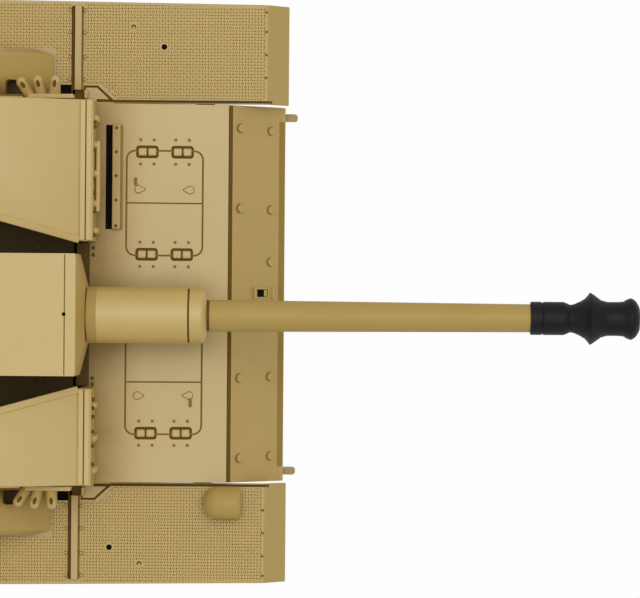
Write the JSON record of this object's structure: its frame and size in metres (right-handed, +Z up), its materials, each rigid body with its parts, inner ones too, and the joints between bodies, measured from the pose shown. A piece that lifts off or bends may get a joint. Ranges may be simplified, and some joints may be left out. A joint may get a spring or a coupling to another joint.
{
  "type": "remote control tank",
  "caption": "Remote control casemate tank model: sprung road wheels in endless tracks under broad fenders, sloped casemate with roof hatches, long gun that traverses and elevates.",
  "frame": {"origin": "middle of the tank's box, on the ground under the tracks", "axes": "+X is the way the tank drives and the gun points, +Y its left side, +Z up"},
  "size_m": [0.4346, 0.1844, 0.1318],
  "materials": {
    "sand_paint": "satin sand paint",
    "black_plastic": "moulded black",
    "dark_wheel": "dark tyres",
    "arm_plastic": "moulded dark",
    "track_links": "moulded dark",
    "battery_wrap": "shrink wrap",
    "circuit_board": "board lacquer",
    "gear_case": "moulded grey"
  },
  "bodies": {
    "hull": {"lower_hull": "sand_paint", "upper_hull": "sand_paint", "casemate": "sand_paint", "commander_cupola": "sand_paint", "headlight": "sand_paint", "battery_pack": "battery_wrap", "control_board": "circuit_board", "speaker": "black_plastic", "fender_left": "sand_paint", "smoke_dischargers_left": "sand_paint", "gearbox_left": "gear_case", "track_left": "track_links", "fender_right": "sand_paint", "smoke_dischargers_right": "sand_paint", "gearbox_right": "gear_case", "track_right": "track_links"},
    "gun_carriage": {"gun_cradle": "black_plastic"},
    "gun": {"gun_mantlet": "sand_paint", "gun_sleeve": "sand_paint", "gun_barrel": "sand_paint", "muzzle_brake": "black_plastic"},
    "commander_hatch": {"commander_hatch": "sand_paint"},
    "loader_hatch_front": {"loader_hatch_front": "sand_paint"},
    "loader_hatch_rear": {"loader_hatch_rear": "sand_paint"},
    "battery_door": {"battery_door": "sand_paint"},
    "power_switch": {"power_switch": "black_plastic"},
    "drive_sprocket_left": {"drive_sprocket_left": "sand_paint"},
    "idler_wheel_left": {"idler_wheel_left": "sand_paint"},
    "return_roller_left_1": {"return_roller_left_1": "sand_paint"},
    "return_roller_left_2": {"return_roller_left_2": "sand_paint"},
    "return_roller_left_3": {"return_roller_left_3": "sand_paint"},
    "suspension_arm_left_1": {"suspension_arm_left_1": "arm_plastic"},
    "road_wheel_left_1": {"road_wheel_left_1": "dark_wheel"},
    "suspension_arm_left_2": {"suspension_arm_left_2": "arm_plastic"},
    "road_wheel_left_2": {"road_wheel_left_2": "dark_wheel"},
    "suspension_arm_left_3": {"suspension_arm_left_3": "arm_plastic"},
    "road_wheel_left_3": {"road_wheel_left_3": "dark_wheel"},
    "suspension_arm_left_4": {"suspension_arm_left_4": "arm_plastic"},
    "road_wheel_left_4": {"road_wheel_left_4": "dark_wheel"},
    "suspension_arm_left_5": {"suspension_arm_left_5": "arm_plastic"},
    "road_wheel_left_5": {"road_wheel_left_5": "dark_wheel"},
    "suspension_arm_left_6": {"suspension_arm_left_6": "arm_plastic"},
    "road_wheel_left_6": {"road_wheel_left_6": "dark_wheel"},
    "drive_sprocket_right": {"drive_sprocket_right": "sand_paint"},
    "idler_wheel_right": {"idler_wheel_right": "sand_paint"},
    "return_roller_right_1": {"return_roller_right_1": "sand_paint"},
    "return_roller_right_2": {"return_roller_right_2": "sand_paint"},
    "return_roller_right_3": {"return_roller_right_3": "sand_paint"},
    "suspension_arm_right_1": {"suspension_arm_right_1": "arm_plastic"},
    "road_wheel_right_1": {"road_wheel_right_1": "dark_wheel"},
    "suspension_arm_right_2": {"suspension_arm_right_2": "arm_plastic"},
    "road_wheel_right_2": {"road_wheel_right_2": "dark_wheel"},
    "suspension_arm_right_3": {"suspension_arm_right_3": "arm_plastic"},
    "road_wheel_right_3": {"road_wheel_right_3": "dark_wheel"},
    "suspension_arm_right_4": {"suspension_arm_right_4": "arm_plastic"},
    "road_wheel_right_4": {"road_wheel_right_4": "dark_wheel"},
    "suspension_arm_right_5": {"suspension_arm_right_5": "arm_plastic"},
    "road_wheel_right_5": {"road_wheel_right_5": "dark_wheel"},
    "suspension_arm_right_6": {"suspension_arm_right_6": "arm_plastic"},
    "road_wheel_right_6": {"road_wheel_right_6": "dark_wheel"}
  },
  "joints": [
    {"name": "gun_traverse", "type": "hinge", "parent": "hull", "child": "gun_carriage", "pos_m": [0.03603, -0.0068, 0.0981], "axis": [0, 0, 1], "range_deg": [-10, 10]},
    {"name": "gun_elevation", "type": "hinge", "parent": "gun_carriage", "child": "gun", "pos_m": [0.03603, -0.0068, 0.0981], "axis": [0, -1, 0], "range_deg": [-6, 17]},
    {"name": "commander_hatch_hinge", "type": "hinge", "parent": "hull", "child": "commander_hatch", "pos_m": [-0.06187, 0.029, 0.1294], "axis": [0, -1, 0], "range_deg": [0, 110]},
    {"name": "loader_hatch_front_hinge", "type": "hinge", "parent": "hull", "child": "loader_hatch_front", "pos_m": [-0.03547, -0.031, 0.1184], "axis": [0, 1, 0], "range_deg": [0, 110]},
    {"name": "loader_hatch_rear_hinge", "type": "hinge", "parent": "hull", "child": "loader_hatch_rear", "pos_m": [-0.06248, -0.031, 0.1184], "axis": [0, -1, 0], "range_deg": [0, 110]},
    {"name": "battery_door_hinge", "type": "hinge", "parent": "hull", "child": "battery_door", "pos_m": [-0.01597, 0, 0.026], "axis": [0, -1, 0], "range_deg": [0, 85]},
    {"name": "power_switch_slide", "type": "slide", "parent": "hull", "child": "power_switch", "axis": [-1, 0, 0], "range_m": [0, 0.004]},
    {"name": "drive_sprocket_left_spin", "type": "hinge", "parent": "hull", "child": "drive_sprocket_left", "pos_m": [0.08193, 0.0765, 0.04], "axis": [0, 1, 0], "continuous": true},
    {"name": "idler_wheel_left_spin", "type": "hinge", "parent": "hull", "child": "idler_wheel_left", "pos_m": [-0.18492, 0.0765, 0.038], "axis": [0, 1, 0], "continuous": true},
    {"name": "return_roller_left_1_spin", "type": "hinge", "parent": "hull", "child": "return_roller_left_1", "pos_m": [0.02, 0.0765, 0.04965], "axis": [0, 1, 0], "continuous": true},
    {"name": "return_roller_left_2_spin", "type": "hinge", "parent": "hull", "child": "return_roller_left_2", "pos_m": [-0.0515, 0.0765, 0.04925], "axis": [0, 1, 0], "continuous": true},
    {"name": "return_roller_left_3_spin", "type": "hinge", "parent": "hull", "child": "return_roller_left_3", "pos_m": [-0.123, 0.0765, 0.04885], "axis": [0, 1, 0], "continuous": true},
    {"name": "suspension_arm_left_1_swing", "type": "hinge", "parent": "hull", "child": "suspension_arm_left_1", "pos_m": [0.05388, 0.058, 0.03005], "axis": [0, 1, 0], "range_deg": [0, 12], "stiffness_Nm_per_rad": 0.05, "springref_deg": -20.05},
    {"name": "road_wheel_left_1_spin", "type": "hinge", "parent": "suspension_arm_left_1", "child": "road_wheel_left_1", "pos_m": [0.03788, 0.0765, 0.02005], "axis": [0, 1, 0], "continuous": true},
    {"name": "suspension_arm_left_2_swing", "type": "hinge", "parent": "hull", "child": "suspension_arm_left_2", "pos_m": [0.01813, 0.058, 0.03005], "axis": [0, 1, 0], "range_deg": [0, 12], "stiffness_Nm_per_rad": 0.05, "springref_deg": -20.05},
    {"name": "road_wheel_left_2_spin", "type": "hinge", "parent": "suspension_arm_left_2", "child": "road_wheel_left_2", "pos_m": [0.00213, 0.0765, 0.02005], "axis": [0, 1, 0], "continuous": true},
    {"name": "suspension_arm_left_3_swing", "type": "hinge", "parent": "hull", "child": "suspension_arm_left_3", "pos_m": [-0.01762, 0.058, 0.03005], "axis": [0, 1, 0], "range_deg": [0, 12], "stiffness_Nm_per_rad": 0.05, "springref_deg": -20.05},
    {"name": "road_wheel_left_3_spin", "type": "hinge", "parent": "suspension_arm_left_3", "child": "road_wheel_left_3", "pos_m": [-0.03362, 0.0765, 0.02005], "axis": [0, 1, 0], "continuous": true},
    {"name": "suspension_arm_left_4_swing", "type": "hinge", "parent": "hull", "child": "suspension_arm_left_4", "pos_m": [-0.05337, 0.058, 0.03005], "axis": [0, 1, 0], "range_deg": [0, 12], "stiffness_Nm_per_rad": 0.05, "springref_deg": -20.05},
    {"name": "road_wheel_left_4_spin", "type": "hinge", "parent": "suspension_arm_left_4", "child": "road_wheel_left_4", "pos_m": [-0.06937, 0.0765, 0.02005], "axis": [0, 1, 0], "continuous": true},
    {"name": "suspension_arm_left_5_swing", "type": "hinge", "parent": "hull", "child": "suspension_arm_left_5", "pos_m": [-0.08912, 0.058, 0.03005], "axis": [0, 1, 0], "range_deg": [0, 12], "stiffness_Nm_per_rad": 0.05, "springref_deg": -20.05},
    {"name": "road_wheel_left_5_spin", "type": "hinge", "parent": "suspension_arm_left_5", "child": "road_wheel_left_5", "pos_m": [-0.10512, 0.0765, 0.02005], "axis": [0, 1, 0], "continuous": true},
    {"name": "suspension_arm_left_6_swing", "type": "hinge", "parent": "hull", "child": "suspension_arm_left_6", "pos_m": [-0.12487, 0.058, 0.03005], "axis": [0, 1, 0], "range_deg": [0, 12], "stiffness_Nm_per_rad": 0.05, "springref_deg": -20.05},
    {"name": "road_wheel_left_6_spin", "type": "hinge", "parent": "suspension_arm_left_6", "child": "road_wheel_left_6", "pos_m": [-0.14088, 0.0765, 0.02005], "axis": [0, 1, 0], "continuous": true},
    {"name": "drive_sprocket_right_spin", "type": "hinge", "parent": "hull", "child": "drive_sprocket_right", "pos_m": [0.08193, -0.0765, 0.04], "axis": [0, 1, 0], "continuous": true},
    {"name": "idler_wheel_right_spin", "type": "hinge", "parent": "hull", "child": "idler_wheel_right", "pos_m": [-0.18492, -0.0765, 0.038], "axis": [0, 1, 0], "continuous": true},
    {"name": "return_roller_right_1_spin", "type": "hinge", "parent": "hull", "child": "return_roller_right_1", "pos_m": [0.02, -0.0765, 0.04965], "axis": [0, 1, 0], "continuous": true},
    {"name": "return_roller_right_2_spin", "type": "hinge", "parent": "hull", "child": "return_roller_right_2", "pos_m": [-0.0515, -0.0765, 0.04925], "axis": [0, 1, 0], "continuous": true},
    {"name": "return_roller_right_3_spin", "type": "hinge", "parent": "hull", "child": "return_roller_right_3", "pos_m": [-0.123, -0.0765, 0.04885], "axis": [0, 1, 0], "continuous": true},
    {"name": "suspension_arm_right_1_swing", "type": "hinge", "parent": "hull", "child": "suspension_arm_right_1", "pos_m": [0.05388, -0.058, 0.03005], "axis": [0, 1, 0], "range_deg": [0, 12], "stiffness_Nm_per_rad": 0.05, "springref_deg": -20.05},
    {"name": "road_wheel_right_1_spin", "type": "hinge", "parent": "suspension_arm_right_1", "child": "road_wheel_right_1", "pos_m": [0.03788, -0.0765, 0.02005], "axis": [0, 1, 0], "continuous": true},
    {"name": "suspension_arm_right_2_swing", "type": "hinge", "parent": "hull", "child": "suspension_arm_right_2", "pos_m": [0.01813, -0.058, 0.03005], "axis": [0, 1, 0], "range_deg": [0, 12], "stiffness_Nm_per_rad": 0.05, "springref_deg": -20.05},
    {"name": "road_wheel_right_2_spin", "type": "hinge", "parent": "suspension_arm_right_2", "child": "road_wheel_right_2", "pos_m": [0.00213, -0.0765, 0.02005], "axis": [0, 1, 0], "continuous": true},
    {"name": "suspension_arm_right_3_swing", "type": "hinge", "parent": "hull", "child": "suspension_arm_right_3", "pos_m": [-0.01762, -0.058, 0.03005], "axis": [0, 1, 0], "range_deg": [0, 12], "stiffness_Nm_per_rad": 0.05, "springref_deg": -20.05},
    {"name": "road_wheel_right_3_spin", "type": "hinge", "parent": "suspension_arm_right_3", "child": "road_wheel_right_3", "pos_m": [-0.03362, -0.0765, 0.02005], "axis": [0, 1, 0], "continuous": true},
    {"name": "suspension_arm_right_4_swing", "type": "hinge", "parent": "hull", "child": "suspension_arm_right_4", "pos_m": [-0.05337, -0.058, 0.03005], "axis": [0, 1, 0], "range_deg": [0, 12], "stiffness_Nm_per_rad": 0.05, "springref_deg": -20.05},
    {"name": "road_wheel_right_4_spin", "type": "hinge", "parent": "suspension_arm_right_4", "child": "road_wheel_right_4", "pos_m": [-0.06937, -0.0765, 0.02005], "axis": [0, 1, 0], "continuous": true},
    {"name": "suspension_arm_right_5_swing", "type": "hinge", "parent": "hull", "child": "suspension_arm_right_5", "pos_m": [-0.08912, -0.058, 0.03005], "axis": [0, 1, 0], "range_deg": [0, 12], "stiffness_Nm_per_rad": 0.05, "springref_deg": -20.05},
    {"name": "road_wheel_right_5_spin", "type": "hinge", "parent": "suspension_arm_right_5", "child": "road_wheel_right_5", "pos_m": [-0.10512, -0.0765, 0.02005], "axis": [0, 1, 0], "continuous": true},
    {"name": "suspension_arm_right_6_swing", "type": "hinge", "parent": "hull", "child": "suspension_arm_right_6", "pos_m": [-0.12487, -0.058, 0.03005], "axis": [0, 1, 0], "range_deg": [0, 12], "stiffness_Nm_per_rad": 0.05, "springref_deg": -20.05},
    {"name": "road_wheel_right_6_spin", "type": "hinge", "parent": "suspension_arm_right_6", "child": "road_wheel_right_6", "pos_m": [-0.14088, -0.0765, 0.02005], "axis": [0, 1, 0], "continuous": true}
  ],
  "couplings": [
    {"joint": "idler_wheel_left_spin", "follows": "drive_sprocket_left_spin", "ratio": 0.975},
    {"joint": "return_roller_left_1_spin", "follows": "drive_sprocket_left_spin", "ratio": 2.0526},
    {"joint": "return_roller_left_2_spin", "follows": "drive_sprocket_left_spin", "ratio": 2.0526},
    {"joint": "return_roller_left_3_spin", "follows": "drive_sprocket_left_spin", "ratio": 2.0526},
    {"joint": "road_wheel_left_1_spin", "follows": "drive_sprocket_left_spin", "ratio": 1.2},
    {"joint": "road_wheel_left_2_spin", "follows": "drive_sprocket_left_spin", "ratio": 1.2},
    {"joint": "road_wheel_left_3_spin", "follows": "drive_sprocket_left_spin", "ratio": 1.2},
    {"joint": "road_wheel_left_4_spin", "follows": "drive_sprocket_left_spin", "ratio": 1.2},
    {"joint": "road_wheel_left_5_spin", "follows": "drive_sprocket_left_spin", "ratio": 1.2},
    {"joint": "road_wheel_left_6_spin", "follows": "drive_sprocket_left_spin", "ratio": 1.2},
    {"joint": "idler_wheel_right_spin", "follows": "drive_sprocket_right_spin", "ratio": 0.975},
    {"joint": "return_roller_right_1_spin", "follows": "drive_sprocket_right_spin", "ratio": 2.0526},
    {"joint": "return_roller_right_2_spin", "follows": "drive_sprocket_right_spin", "ratio": 2.0526},
    {"joint": "return_roller_right_3_spin", "follows": "drive_sprocket_right_spin", "ratio": 2.0526},
    {"joint": "road_wheel_right_1_spin", "follows": "drive_sprocket_right_spin", "ratio": 1.2},
    {"joint": "road_wheel_right_2_spin", "follows": "drive_sprocket_right_spin", "ratio": 1.2},
    {"joint": "road_wheel_right_3_spin", "follows": "drive_sprocket_right_spin", "ratio": 1.2},
    {"joint": "road_wheel_right_4_spin", "follows": "drive_sprocket_right_spin", "ratio": 1.2},
    {"joint": "road_wheel_right_5_spin", "follows": "drive_sprocket_right_spin", "ratio": 1.2},
    {"joint": "road_wheel_right_6_spin", "follows": "drive_sprocket_right_spin", "ratio": 1.2}
  ]
}
